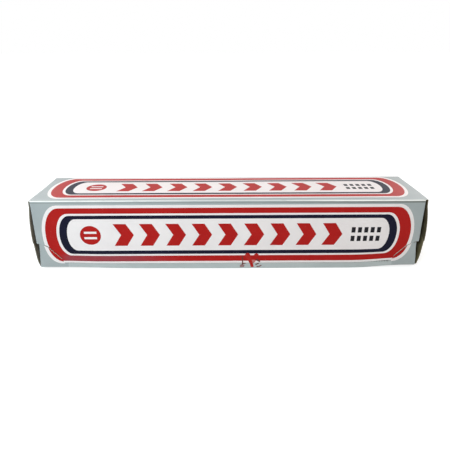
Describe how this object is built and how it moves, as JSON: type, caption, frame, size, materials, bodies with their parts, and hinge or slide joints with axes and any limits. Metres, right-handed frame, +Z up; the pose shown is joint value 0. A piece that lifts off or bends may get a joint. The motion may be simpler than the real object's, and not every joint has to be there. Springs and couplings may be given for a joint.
{
  "type": "boxed foil roll",
  "caption": "Long closed card carton with a hinged lid over a foil roll on a card core; racetrack print on front and top, cutting blade inside the torn-open flap, end flaps bowed out.",
  "frame": {"origin": "middle of the footprint, on the surface that the carton stands on", "axes": "+X along the roll, to the right as the front print is seen; +Y from the printed front to the back; +Z up"},
  "size_m": [0.2652, 0.05, 0.0505],
  "materials": {
    "silver_board": "satin",
    "tray_board": "satin",
    "core_board": "matte",
    "foil": "bright",
    "blade_steel": "brushed",
    "white_ink": "satin",
    "red_ink": "satin",
    "navy_ink": "satin",
    "black_ink": "satin"
  },
  "bodies": {
    "tray": {"tray": "tray_board", "front_strip": "silver_board", "foil_roll": "foil", "core_tube": "core_board", "strip_white_print": "white_ink", "strip_red_print": "red_ink"},
    "lid": {"lid": "silver_board", "cutter_blade": "blade_steel", "lid_white_print": "white_ink", "lid_red_print": "red_ink", "lid_navy_print": "navy_ink", "lid_black_print": "black_ink"}
  },
  "joints": [
    {"name": "lid_hinge", "type": "hinge", "parent": "tray", "child": "lid", "pos_m": [0, 0.025, 0.0499], "axis": [-1, 0, 0], "range_deg": [0, 180]}
  ]
}
